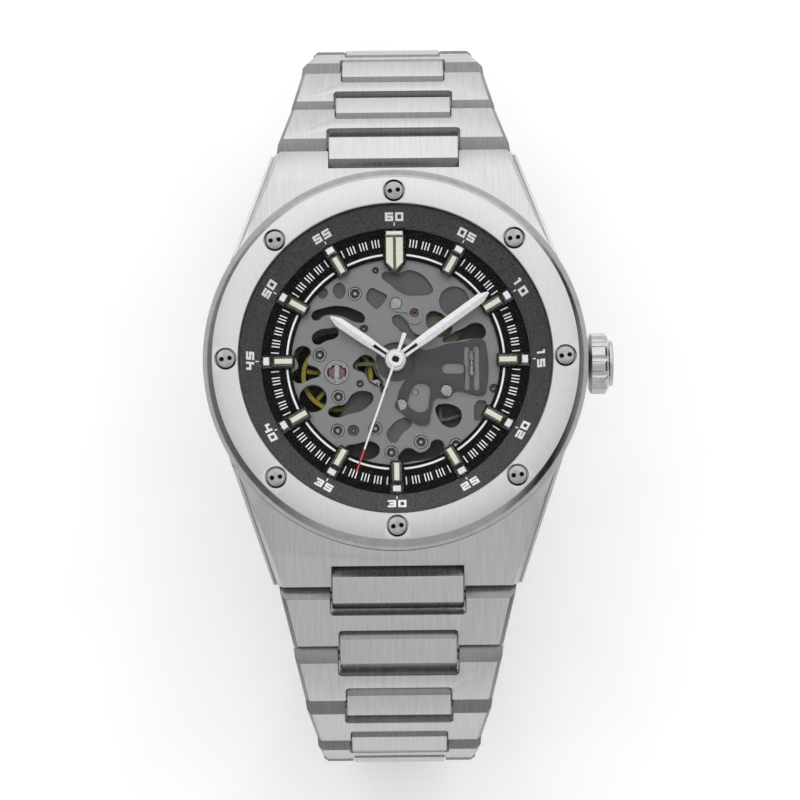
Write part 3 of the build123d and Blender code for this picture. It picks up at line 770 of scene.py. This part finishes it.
# %% Shield at twelve
shield = plate([[(-1.25, 15.35), (1.25, 15.35), (1.25, 11.35), (0.45, 10.3), (-0.45, 10.3), (-1.25, 11.35)]],
               DIAL_TOP, MARKER_TOP)
chamfer_edges(shield, 0.22, lambda a, b: a.z > 9.3 and b.z > 9.3)
settle(shield, "twelve_shield", "case", GUNMETAL)
strips = [plate([[(s * 0.17, 14.3), (s * 0.95, 14.3), (s * 0.95, 11.4), (s * 0.17, 10.65)]],
                MARKER_TOP - 0.04, MARKER_TOP + 0.05) for s in (-1, 1)]
settle(join("strips", strips), "twelve_lume", "case", LUME)
top_bar = block((2.1, 0.55, 0.2), (0, 14.85, MARKER_TOP + 0.02))
chamfer_edges(top_bar, 0.12, lambda a, b: a.z > 9.45 and b.z > 9.45)
settle(top_bar, "twelve_bar", "case", POLISHED)

# %% [markdown]
# ## The movement's plates
#
# The main plate is pierced and sunk. It is made in two layers: the upper layer has every window and
# recess, and the lower layer only the windows that go right through. The lower layer is the same plate
# coloured much darker, as painted shade in the recesses. Windows are smooth closed curves through a few
# points. A thin, darker cover lies over the winding works on the right.

# %% Windows
HARD_RECESS = [
    [(-2.95, 8.55), (-2.6, 8.7), (-1.0, 7.9), (-0.85, 7.7), (-1.2, 7.0), (-1.95, 6.2), (-2.3, 6.2),
     (-3.2, 7.1), (-3.35, 7.4), (-3.3, 7.9)],
    [(8.9, -6.9), (8.9, -5.2), (9.2, -4.7), (9.5, -4.55), (10.1, -4.55), (10.35, -4.8),
     (10.35, -5.5), (10.0, -6.9)],
]
DEEP = [
    [(-9.6, 5.6), (-8.1, 6.4), (-6.2, 6.6), (-4.5, 6.1), (-3.6, 5.5), (-3.6, 4.7), (-4.3, 4.6), (-6.2, 5.4),
     (-8.0, 5.5), (-9.2, 4.9)],
    [(-9.6, 2.9), (-8.8, 3.8), (-7.6, 4.0), (-6.7, 4.0), (-6.6, 3.1), (-8.0, 2.5), (-9.1, 2.1)],
    [(-11.2, -0.5), (-11.6, 1.3), (-10.5, 2.0), (-9.7, 1.3), (-10.1, 0.0), (-9.0, -0.6), (-8.6, -1.3),
     (-9.7, -1.9), (-11.4, -2.3), (-11.9, -1.2)],
    [(-7.8, -5.7), (-6.9, -5.0), (-5.9, -4.8), (-5.0, -3.7), (-3.8, -3.3), (-2.6, -3.9), (-3.4, -5.3),
     (-5.3, -6.0), (-7.3, -6.3)],
    [(-5.9, -10.0), (-4.4, -9.4), (-2.7, -9.2), (-1.9, -10.2), (-2.8, -11.2), (-4.9, -10.9)],
    [(4.6, -5.2), (5.4, -4.9), (7.0, -5.3), (7.5, -6.0), (6.9, -7.5), (5.8, -7.6), (4.6, -6.1)],
    [(0.2, -11.4), (0.6, -10.3), (1.4, -9.95), (2.7, -10.5), (3.7, -10.0), (4.1, -9.2), (5.2, -9.2),
     (5.3, -10.4), (3.9, -11.2), (2.1, -11.5)],
    [(3.5, 4.8), (3.8, 5.7), (4.6, 5.9), (6.0, 4.9), (6.5, 3.6), (5.4, 2.8), (4.1, 3.5)],
    [(7.7, 3.8), (9.2, 4.5), (10.2, 4.0), (10.2, 2.8), (8.5, 2.6), (6.4, 2.3), (5.4, 2.4), (6.4, 3.2)],
    [(-4.9, -0.6), (-4.4, 0.4), (-3.3, 0.9), (-2.4, 0.2), (-1.95, -1.4), (-1.5, -2.7), (-2.9, -2.5),
     (-3.6, -1.3)],
]
RECESS = [
    [(-1.5, 10.2), (0.6, 10.4), (1.9, 10.7), (4.3, 8.7), (4.3, 8.1), (2.6, 7.7), (0.9, 7.9), (-0.5, 9.0)],
    [(-0.4, 4.9), (0.1, 5.5), (0.9, 5.2), (2.1, 3.4), (2.9, 2.8), (1.5, 2.7), (0.3, 3.9)],
    [(-1.1, -8.5), (-0.6, -7.4), (0.5, -6.6), (1.4, -6.5), (1.8, -7.1), (0.7, -8.3), (-0.3, -9.4)],
    [(-8.9, 8.2), (-8.8, 7.7), (-8.3, 7.4), (-7.8, 7.8), (-7.8, 8.5), (-8.3, 8.8)],
    [(-7.1, 8.7), (-7.0, 7.9), (-6.4, 7.4), (-5.8, 7.8), (-5.8, 8.9), (-6.4, 9.3)],
]
ROUND_DEEP = [((-9.5, -4.15), 1.6), ((6.8, 7.0), 1.75)]
RINGED = [(-4.6, 8.0), (-8.7, 0.9), (-6.6, -4.0), (-6.7, -7.9), (-2.4, -7.7), (-0.6, -10.5), (2.8, -9.3),
          (6.8, -9.7)]
PLAIN = [((-4.9, -7.9), 0.68), ((-3.6, 3.9), 0.5), ((-4.1, -2.5), 0.45), ((-2.2, 10.7), 0.4),
         ((11.2, -3.2), 0.55), ((-1.4, -3.2), 0.45)]
SCREWS = [(0.1, 6.8), (5.8, -3.4), (0.6, -5.0)]
BALANCE = (-6.76, -1.15)
BALANCE_AXIS = (-6.76, -1.19)
HUB_WELL = 2.3

# %% Main plate
holes = HARD_RECESS + [circle(r, at) for at, r in ROUND_DEEP + PLAIN] + [circle(0.8, at) for at in RINGED]
holes += [circle(1.42, BALANCE), circle(0.5, (2.2, 5.7)), circle(HUB_WELL, (0, 0), 64)]
upper = plate([circle(15.35, (0, 0), 160)] + DEEP + RECESS + holes, 7.75, 8.2,
              smooth=range(1, 1 + len(DEEP) + len(RECESS)))
settle(ease(upper, 0.05, 1, 50), "main_plate_upper", "case", PLATE, "main_plate")
low_holes = [circle(r, at) for at, r in ROUND_DEEP[:1]] + [circle(1.0, (0, 0))]
lower = plate([circle(15.35, (0, 0), 160)] + DEEP + low_holes, 7.1, 7.74, smooth=range(1, 1 + len(DEEP)))
settle(ease(lower, 0.05, 1, 50), "main_plate_lower_shaded", "case", PLATE_SHADED)

# %% Raised bridge over the barrel
FINGER_EDGE = [(-0.6, 6.3), (0.3, 5.75), (1.4, 5.6), (1.5, 4.6), (2.9, 4.6), (3.0, 6.2), (2.5, 7.0),
               (1.6, 7.4), (0.9, 7.75), (0.1, 7.8), (-0.6, 7.4), (-0.9, 6.8)]
finger = plate([FINGER_EDGE, circle(0.72, SCREWS[0]), circle(0.52, (2.2, 5.7))], 8.21, 8.36, smooth=(0,))
settle(ease(finger, 0.05, 1, 50), "barrel_bridge", "case", PLATE)

# %% Ringed posts, screws and settings
posts = []
for at in RINGED:
    collar = [(0.52, 7.74), (0.76, 7.74), (0.76, 8.12), (0.7, 8.18), (0.58, 8.18), (0.52, 8.1)]
    posts.append(shift(lathe(collar, 32), *at))
    posts.append(shift(lathe([(0, 7.74), (0.3, 7.74), (0.3, 7.95), (0.2, 8.05), (0, 8.08)], 24), *at))
for at, radius in PLAIN:
    posts.append(shift(lathe([(0, 7.74), (0.22, 7.74), (0.22, 7.9), (0.1, 8.0), (0, 8.0)], 20), *at))
settle(join("posts", posts), "plate_posts", "case", STEEL_PART, "movement_screws")

slotted = []
for number_of, at in enumerate(SCREWS):
    screw = lathe([(0, 8.1), (0.68, 8.1), (0.68, 8.26), (0.62, 8.32), (0, 8.34)], 40)
    carve(screw, turn(block((1.6, 0.24, 0.24), (0, 0, 8.34)), 40 + 75 * number_of))
    slotted.append(shift(screw, *at))
settle(join("slotted", slotted), "slotted_screws", "case", STEEL_PART)

setting = lathe([(1.05, 7.7), (1.4, 7.7), (1.4, 8.2), (1.34, 8.28), (1.14, 8.28), (1.05, 8.2)], 64)
spring = plate([arc(0.92, 1.08, -60, 60, 16)], 8.2, 8.26)
lower_spring = turn(twin(spring, "lower_spring"), 180)
cross = block((0.5, 1.9, 0.08), (0, 0, 8.0))
settle(shift(join("setting", [setting, spring, lower_spring, cross]), *BALANCE), "balance_setting", "case",
       STEEL_PART)

STONE = [(0.1, 7.8), (0.48, 7.8), (0.48, 8.16), (0.38, 8.22), (0.2, 8.16), (0.1, 8.05)]
stones = [shift(lathe(STONE, 32), *at) for at in ((2.2, 5.7), (2.2, -3.55))]
stones.append(shift(lathe([(0, 7.6), (1.04, 7.6), (1.04, 7.85), (0.6, 7.95), (0, 7.98)], 40), *BALANCE))
settle(join("stones", stones), "ruby_stones", "case", RUBY, "jewels")

# %% Cover over the winding works
COVER_EDGE = [(1.9, 1.6), (3.4, 1.3), (4.8, 1.6), (5.9, 2.0), (8.0, 2.3), (9.3, 2.6), (10.1, 2.4),
              (10.4, 1.6), (10.4, -3.2), (10.1, -3.9), (9.3, -4.0), (8.2, -3.7), (7.1, -3.5), (6.5, -3.7),
              (6.2, -4.1),
              (5.5, -4.3), (4.8, -4.2), (4.3, -4.6), (4.1, -5.5), (3.9, -6.3), (3.7, -7.2), (2.8, -7.4),
              (1.8, -6.9), (0.9, -6.2), (0.2, -4.5), (0.9, -2.4), (2.1, -1.0), (2.35, 0.3)]
GEAR_WINDOW = [(2.6, -2.5), (3.8, -2.9), (3.8, -4.4), (3.6, -5.5), (3.0, -5.9), (2.1, -5.7), (1.4, -5.0),
               (1.5, -4.0), (2.0, -2.9)]


def stadium(start, stop, half, upright=False):
    """Outline of a slot with round ends, along X or along Y."""
    ends = [(stop, -90), (start, 90)]
    points = []
    for place, first in ends:
        for step in range(9):
            a = radians(first + 22.5 * step)
            points.append((place + half * cos(a), half * sin(a)))
    return [(y, x) for x, y in points] if upright else points


def moved(points, x, y):
    return [(px + x, py + y) for px, py in points]


slots = [moved(stadium(5.9, 7.4, 0.62), 0, -0.85), moved(stadium(-3.1, 1.5, 0.3, True), 8.15, 0),
         moved(stadium(-3.1, 1.5, 0.33, True), 9.25, 0)]
cover = plate([COVER_EDGE, GEAR_WINDOW] + slots + [circle(0.72, at) for at in SCREWS[1:]], 8.22, 8.5,
              smooth=(0, 1))
settle(ease(cover, 0.06, 2, 50), "winding_cover", "case", COVER, "keyless_cover")
pinion = lathe([(0, -2.2), (0.42, -2.2), (0.42, -1.2), (0.3, -1.1), (0.3, -0.6), (0.42, -0.5), (0.42, 0.6),
                (0, 0.6)], 24)
for i in range(8):
    a = radians(45 * i)
    carve(pinion, disc(0.09, -3, 3, (0.46 * cos(a), 0.46 * sin(a)), 12))
shift(turn(pinion, 90, "X"), 8.7, -1.1, 8.22)
settle(pinion, "winding_pinion", "case", STEEL_PART)
print("movement plates done")

# %% [markdown]
# ## Hands
#
# The hour and minute hands are pointed blades with a ridge down the middle: a flat outline is cut in two
# along its centre line, and the points on that line are lifted. A slot near the root holds a dark inlay.
# The seconds hand is a needle with a red end and a ring over the centre.


# %% Blades
def blade(length, half, level):
    root = 1.0
    outline = [(0.5, 0.7), (half * 0.82, 2.4), (half, 4.2), (half, length - 1.15), (0.12, length),
               (-0.12, length), (-half, length - 1.15), (-half, 4.2), (-half * 0.82, 2.4), (-0.5, 0.7)]
    slot = [(0.13, root + 0.15), (0.2, 3.05), (-0.2, 3.05), (-0.13, root + 0.15)]
    body = plate([outline, slot], level, level + 0.16)
    alone(body)
    bpy.ops.object.mode_set(mode="EDIT")
    bpy.ops.mesh.select_all(action="SELECT")
    bpy.ops.mesh.bisect(plane_co=(0, 0, 0), plane_no=(1, 0, 0))
    bpy.ops.mesh.select_all(action="DESELECT")
    bpy.ops.object.mode_set(mode="OBJECT")
    for vertex in body.data.vertices:
        high = vertex.co.z > (level + 0.15) * MM
        if high and abs(vertex.co.x) < 0.02 * MM and vertex.co.y > 3.5 * MM:
            vertex.co.z += 0.2 * MM
    boss = lathe([(0.63, level), (1.25, level), (1.25, level + 0.14), (1.12, level + 0.24),
                  (0.63, level + 0.24)], 64)
    both = clad(join("blade", [body, boss]), HAND, SHADED_FACET)
    # The upright sides take the darker steel as painted shade.
    return paint(both, 1, lambda centre, normal: abs(normal.z) < 0.5)


HAND_ANGLES = {"hour": 304.6, "minute": 54.3, "second": 199.4}
hour = turn(blade(9.0, 0.56, 9.27), -HAND_ANGLES["hour"])
settle(hour, "hour_blade", "hours", [HAND, SHADED_FACET], "hour_hand", smooth=15)
minute = turn(blade(13.2, 0.58, 9.68), -HAND_ANGLES["minute"])
settle(minute, "minute_blade", "minutes", [HAND, SHADED_FACET], "minute_hand", smooth=15)
for body, level, key in (("hours", 9.27, "hour"), ("minutes", 9.68, "minute")):
    inlay = turn(block((0.4, 2.0, 0.06), (0, 2.1, level + 0.04)), -HAND_ANGLES[key])
    settle(inlay, f"{key}_inlay", body, NEAR_BLACK_AND_SHADE)

# %% Seconds hand
SECOND_LEVEL = 10.08
needle = plate([[(0.14, 0.5), (0.09, 13.7), (-0.09, 13.7), (-0.14, 0.5), (-0.14, -0.5), (-0.24, -3.2),
                 (0.24, -3.2), (0.14, -0.5)]], SECOND_LEVEL, SECOND_LEVEL + 0.12)
clad(needle, WHITE, RED)
alone(needle)
bpy.ops.object.mode_set(mode="EDIT")
bpy.ops.mesh.select_all(action="SELECT")
bpy.ops.mesh.bisect(plane_co=(0, 11.0 * MM, 0), plane_no=(0, 1, 0))
bpy.ops.object.mode_set(mode="OBJECT")
paint(needle, 1, lambda centre, normal: centre.y > 11.0)
ring = lathe([(0.42, SECOND_LEVEL), (0.9, SECOND_LEVEL), (0.9, SECOND_LEVEL + 0.16),
              (0.8, SECOND_LEVEL + 0.24), (0.52, SECOND_LEVEL + 0.24), (0.42, SECOND_LEVEL + 0.16)], 64)
clad(ring, WHITE)
seconds = turn(join("needle", [needle, ring]), -HAND_ANGLES["second"])
settle(seconds, "seconds_needle", "seconds", [WHITE, RED], "seconds_hand")
pip = lathe([(0, SECOND_LEVEL), (0.4, SECOND_LEVEL), (0.4, SECOND_LEVEL + 0.1), (0.25, SECOND_LEVEL + 0.16),
             (0, SECOND_LEVEL + 0.17)], 32)
settle(pip, "seconds_pipe", "seconds", NEAR_BLACK_AND_SHADE)

# %% [markdown]
# ## Painted shade under the balance
#
# Under the balance lies a thin near-black disc, painted shade that closes the view through the movement.

# %% Shade disc
shade_disc = lathe([(0, 4.62), (5.1, 4.62), (5.15, 4.66), (5.1, 4.7), (0, 4.7)], 64)
settle(shift(shade_disc, *BALANCE), "balance_shade_disc", "case", NEAR_BLACK_AND_SHADE)

# %% [markdown]
# ## Balance wheel
#
# The balance is the gold wheel that shows through the windows on the left: a heavy rim, three arms and
# small timing weights round the rim.

# %% Balance
rim = lathe([(3.55, 5.3), (4.2, 5.3), (4.2, 5.7), (4.12, 5.78), (3.63, 5.78), (3.55, 5.7)], 96)
arms = [turn(block((0.45, 7.4, 0.2), (0, 0, 5.55)), 60 * i + 20) for i in range(3)]
weights = [turn(block((0.3, 0.24, 0.3), (0, 4.06, 5.55)), 30 * i) for i in range(12)]
staff = lathe([(0, 4.8), (0.3, 4.8), (0.3, 5.9), (0.2, 6.0), (0.2, 7.5), (0, 7.5)], 24)
wheel = shift(join("balance", [rim, *arms, *weights, staff]), *BALANCE_AXIS)
settle(wheel, "balance_rim", "balance", GILT, "balance_wheel")

# %% [markdown]
# ## The crown
#
# Twelve rounded flutes for the fingers, a dark groove, and a polished end ring with a slight dome. The
# body is a turned blank; the flutes are cut by round bars set about its rim.

# %% Crown
CROWN_Z = 5.6
crown = lathe([(0, 22.15), (2.9, 22.15), (3.35, 22.3), (3.5, 22.5), (3.5, 24.0), (3.35, 24.25),
               (2.75, 24.55), (2.62, 24.58), (2.62, 24.88), (2.45, 25.0), (1.2, 25.06), (0, 25.07)], 120)
for i in range(12):
    a = radians(30 * i)
    carve(crown, disc(0.5, 22.5, 25.2, (3.78 * cos(a), 3.78 * sin(a)), 24))
ease(crown, 0.08, 2, 40)
collar = lathe([(0, 19.0), (1.2, 19.0), (1.2, 19.4), (1.0, 19.4), (1.0, 19.8), (1.2, 19.8), (1.2, 22.2),
                (0, 22.2)], 48)
crown = shift(turn(join("crown", [crown, collar]), 90, "Y"), 0, 0, CROWN_Z)
settle(crown, "fluted_crown", "crown", CROWN_STEEL, "crown")

# %% [markdown]
# ## The pieces whose solids are right as they are
#
# The middle case, the clasp, the case back and the wheels keep their solids and only need their finishes.

# %% Middle case
case = twin(frame["nodes"]["mid_case"], "case_copy")
alone(case)
bpy.ops.object.mode_set(mode="EDIT")
bpy.ops.mesh.select_all(action="SELECT")
bpy.ops.mesh.remove_doubles(threshold=1e-6)
bpy.ops.mesh.dissolve_limited(angle_limit=radians(1))
bpy.ops.object.mode_set(mode="OBJECT")
for face in case.data.polygons:
    face.material_index = 0
case.data.materials.clear()
case.data.materials.append(BRUSHED)
case.data.materials.append(SHADED_FACET)
# The bevel's faces take the darker steel as painted shade.
apply(case, "BEVEL", width=0.22 * MM, segments=1, limit_method="ANGLE", angle_limit=radians(38), material=1)
settle(case, "middle_case", "case", [BRUSHED, SHADED_FACET], "mid_case")

# %% Finishes for the frame's own solids
dress(BRUSHED, "case_back")
dress(SATIN, "clasp_base", "clasp_arm_12", "clasp_arm_6")
dress(POLISHED, "clasp_button_left", "clasp_button_right", "case_back_screws", "winding_stem")
dress(GLASS, "case_back_crystal")
# The bridges under the plate take the darker plate finish as painted shade.
dress(PLATE_SHADED, "train_bridge", "escapement_bridges")
dress(DARK_GILT, "centre_wheel", "third_wheel", "fourth_wheel", "mainspring_barrel", "hour_wheel")
dress(STEEL_PART, "escape_wheel", "pallet_fork")
dress(BLUED, "hairspring")
dress(RUBBER, "crown_gasket")
dress(SATIN, "rotor")

# %% [markdown]
# ## Stage, light and camera
#
# The watch lies on a plain pale floor. The light is a soft sky: bright overhead and towards twelve
# o'clock, darker to the sides, so that the polished bevels pick up dark bands. One large lamp adds a
# gentle shadow. The camera looks down on the dial with a long lens, leaning slightly towards six o'clock.

# %% Floor
FLOOR_SIZE, FLOOR_GAP = 1.6, 0.0004
bpy.ops.object.select_all(action="DESELECT")
bpy.ops.mesh.primitive_plane_add(size=FLOOR_SIZE, location=(0, 0, CAD_BOX[0][2] - FLOOR_GAP))
floor = bpy.context.object
floor.name = "floor"
floor_white, floor_tree, floor_shader = fresh("floor_white")
floor_tone = tones(floor_tree, pattern(floor_tree, (60, 60, 60)), grey(0.90), grey(0.93))
floor_tree.links.new(floor_tone, floor_shader.inputs["Base Color"])
floor_tree.links.new(floor_tone, floor_shader.inputs["Emission Color"])
floor_shader.inputs["Emission Strength"].default_value = 0.22
floor_shader.inputs["Roughness"].default_value = 0.85
floor.data.materials.append(floor_white)

# %% Sky
world = bpy.data.worlds.new("studio")
bpy.context.scene.world = world
world.use_nodes = True
sky = world.node_tree
sky.nodes.clear()
sky_out = node(sky, "ShaderNodeOutputWorld")
background = node(sky, "ShaderNodeBackground")
sky.links.new(background.outputs["Background"], sky_out.inputs["Surface"])
direction = node(sky, "ShaderNodeTexCoord")
parts = node(sky, "ShaderNodeSeparateXYZ")
sky.links.new(direction.outputs["Generated"], parts.inputs["Vector"])


def sky_ramp(axis, stops):
    ramp = node(sky, "ShaderNodeValToRGB")
    half = node(sky, "ShaderNodeMath", operation="MULTIPLY_ADD")
    half.inputs[1].default_value = 0.5
    half.inputs[2].default_value = 0.5
    sky.links.new(parts.outputs[axis], half.inputs[0])
    sky.links.new(half.outputs[0], ramp.inputs["Fac"])
    elements = ramp.color_ramp.elements
    while len(elements) < len(stops):
        elements.new(0.5)
    for element, (place, value) in zip(elements, stops):
        element.position = place
        element.color = (value, value, value, 1)
    return ramp.outputs["Color"]


along = sky_ramp("Y", [(0.0, 0.5), (0.3, 0.5), (0.46, 0.6), (0.6, 0.71), (0.7, 0.88), (1.0, 0.98)])
aside = sky_ramp("X", [(0.0, 0.35), (0.12, 0.3), (0.3, 1.0), (0.8, 1.0), (0.9, 0.08), (0.94, 0.05),
                       (1.0, 0.45)])
mixed = node(sky, "ShaderNodeMix", data_type="RGBA", blend_type="MULTIPLY")
mixed.inputs["Factor"].default_value = 1.0
sky.links.new(along, mixed.inputs["A"])
sky.links.new(aside, mixed.inputs["B"])
sky.links.new(mixed.outputs["Result"], background.inputs["Color"])
background.inputs["Strength"].default_value = 1.65

# %% Lamp
lamp = bpy.data.lights.new("overhead", "AREA")
lamp.shape = "RECTANGLE"
lamp.size, lamp.size_y = 1.4, 1.4
lamp.energy = 1.5
key = bpy.data.objects.new("overhead", lamp)
bpy.context.scene.collection.objects.link(key)
key.location = (-0.1, 0.35, 1.1)
key.rotation_euler = (Vector((0, 0, 0)) - key.location).to_track_quat("-Z", "Y").to_euler()

# %% Camera
LEAN, SWING = radians(9.0), radians(-0.6)
AIM_RIGHT, AIM_BELOW = 0.5, 4.9
DISTANCE = 450 * MM
facing = Matrix.Rotation(SWING, 3, "Z")
eye_dir = facing @ Vector((0, -sin(LEAN), cos(LEAN)))
up_dir = facing @ Vector((0, cos(LEAN), sin(LEAN)))
right_dir = facing @ Vector((1, 0, 0))
aim = Vector((0, 0, BEZEL_TOP * MM)) + right_dir * AIM_RIGHT * MM - up_dir * AIM_BELOW * MM
camera = bpy.data.objects.new("camera", bpy.data.cameras.new("camera"))
bpy.context.scene.collection.objects.link(camera)
camera.location = aim + eye_dir * DISTANCE
camera.rotation_euler = (LEAN, 0, SWING)
camera.data.sensor_width = 36.0
camera.data.lens = 178.0
camera.data.clip_start = 0.01
camera.data.dof.use_dof = False
bpy.context.scene.camera = camera
bpy.context.scene.view_settings.view_transform = "Standard"
